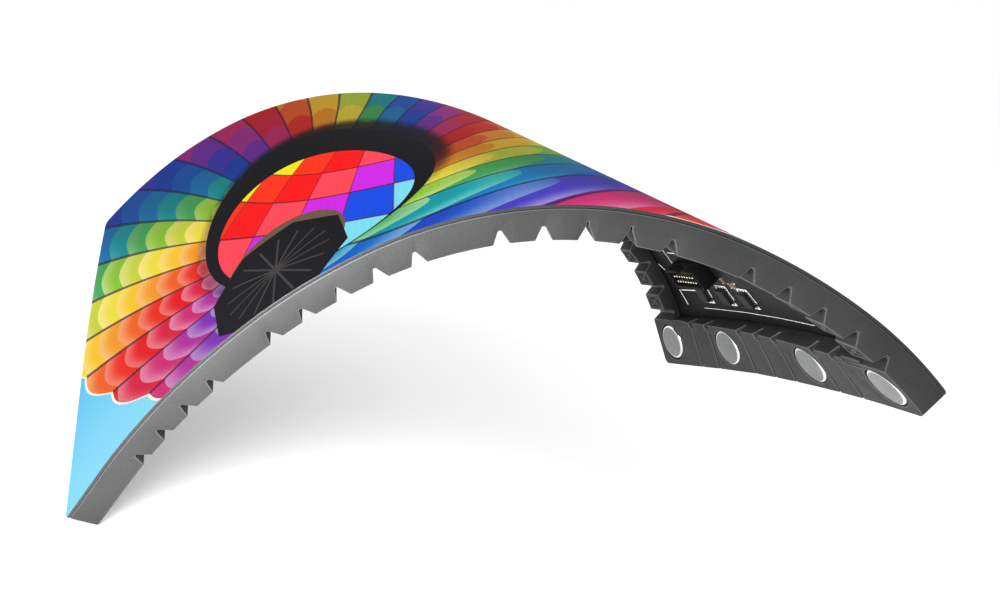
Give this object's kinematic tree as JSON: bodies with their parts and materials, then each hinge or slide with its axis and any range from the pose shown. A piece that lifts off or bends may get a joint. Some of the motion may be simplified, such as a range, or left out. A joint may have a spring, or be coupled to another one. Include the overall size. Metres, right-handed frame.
{
  "type": "flexible led display module",
  "caption": "Soft LED display panel with a notched rubber frame, magnets and a circuit board, bent into a diagonal arch; it bends at nine parallel lines.",
  "frame": {"origin": "middle of the back plane of strip_6, the level strip just right of the middle bend line", "axes": "+Z out of the lit face of strip_6; +Y along the bend lines, from the near long edge to the far one; +X across them, towards the right end"},
  "size_m": [0.2495, 0.2636, 0.131],
  "materials": {
    "lit_face": "lit pixels under a black mask",
    "circuit_board": "black solder mask",
    "moulded_frame": "matte moulded",
    "magnet": "nickel plated",
    "header_plastic": "satin",
    "power_plastic": "satin",
    "chip_plastic": "moulded epoxy"
  },
  "bodies": {
    "strip_1": {"circuit_board_1": "circuit_board", "frame_end_1": "moulded_frame", "lit_face_1": "lit_face", "magnet_left_1": "magnet", "magnet_left_2": "magnet"},
    "strip_2": {"chip_left_1": "chip_plastic", "chip_left_2": "chip_plastic", "chip_left_3": "chip_plastic", "circuit_board_2": "circuit_board", "frame_far_2": "moulded_frame", "frame_near_2": "moulded_frame", "input_header": "header_plastic", "lit_face_2": "lit_face", "magnet_left_3": "magnet", "magnet_left_4": "magnet"},
    "strip_3": {"circuit_board_3": "circuit_board", "frame_far_3": "moulded_frame", "frame_near_3": "moulded_frame", "lit_face_3": "lit_face"},
    "strip_4": {"circuit_board_4": "circuit_board", "frame_far_4": "moulded_frame", "frame_near_4": "moulded_frame", "lit_face_4": "lit_face", "power_header": "power_plastic"},
    "strip_5": {"circuit_board_5": "circuit_board", "frame_far_5": "moulded_frame", "frame_near_5": "moulded_frame", "lit_face_5": "lit_face"},
    "strip_6": {"circuit_board_6": "circuit_board", "frame_far_6": "moulded_frame", "frame_near_6": "moulded_frame", "lit_face_6": "lit_face"},
    "strip_7": {"circuit_board_7": "circuit_board", "frame_far_7": "moulded_frame", "frame_near_7": "moulded_frame", "lit_face_7": "lit_face"},
    "strip_8": {"circuit_board_8": "circuit_board", "frame_far_8": "moulded_frame", "frame_near_8": "moulded_frame", "lit_face_8": "lit_face"},
    "strip_9": {"chip_right_1": "chip_plastic", "chip_right_2": "chip_plastic", "chip_right_3": "chip_plastic", "circuit_board_9": "circuit_board", "frame_far_9": "moulded_frame", "frame_near_9": "moulded_frame", "lit_face_9": "lit_face", "magnet_right_1": "magnet", "magnet_right_2": "magnet", "output_header": "header_plastic"},
    "strip_10": {"circuit_board_10": "circuit_board", "frame_end_10": "moulded_frame", "lit_face_10": "lit_face", "magnet_right_3": "magnet", "magnet_right_4": "magnet"}
  },
  "joints": [
    {"name": "bend_1", "type": "hinge", "parent": "strip_2", "child": "strip_1", "pos_m": [-0.11629, 0, -0.08259], "axis": [0, -1, 0], "range_deg": [-8, 17]},
    {"name": "bend_2", "type": "hinge", "parent": "strip_3", "child": "strip_2", "pos_m": [-0.09931, 0, -0.05206], "axis": [0, -1, 0], "range_deg": [-9, 16]},
    {"name": "bend_3", "type": "hinge", "parent": "strip_4", "child": "strip_3", "pos_m": [-0.07764, 0, -0.02466], "axis": [0, -1, 0], "range_deg": [-13, 12]},
    {"name": "bend_4", "type": "hinge", "parent": "strip_5", "child": "strip_4", "pos_m": [-0.05031, 0, -0.00292], "axis": [0, -1, 0], "range_deg": [-19, 6]},
    {"name": "bend_5", "type": "hinge", "parent": "strip_6", "child": "strip_5", "pos_m": [-0.01747, 0, 0.00898], "axis": [0, -1, 0], "range_deg": [-20, 5]},
    {"name": "bend_6", "type": "hinge", "parent": "strip_6", "child": "strip_7", "pos_m": [0.01747, 0, 0.00914], "axis": [0, 1, 0], "range_deg": [-17, 8]},
    {"name": "bend_7", "type": "hinge", "parent": "strip_7", "child": "strip_8", "pos_m": [0.05094, 0, -0.00083], "axis": [0, 1, 0], "range_deg": [-12, 13]},
    {"name": "bend_8", "type": "hinge", "parent": "strip_8", "child": "strip_9", "pos_m": [0.08137, 0, -0.01799], "axis": [0, 1, 0], "range_deg": [-17, 8]},
    {"name": "bend_9", "type": "hinge", "parent": "strip_9", "child": "strip_10", "pos_m": [0.10538, 0, -0.04337], "axis": [0, 1, 0], "range_deg": [-24, 1]}
  ]
}
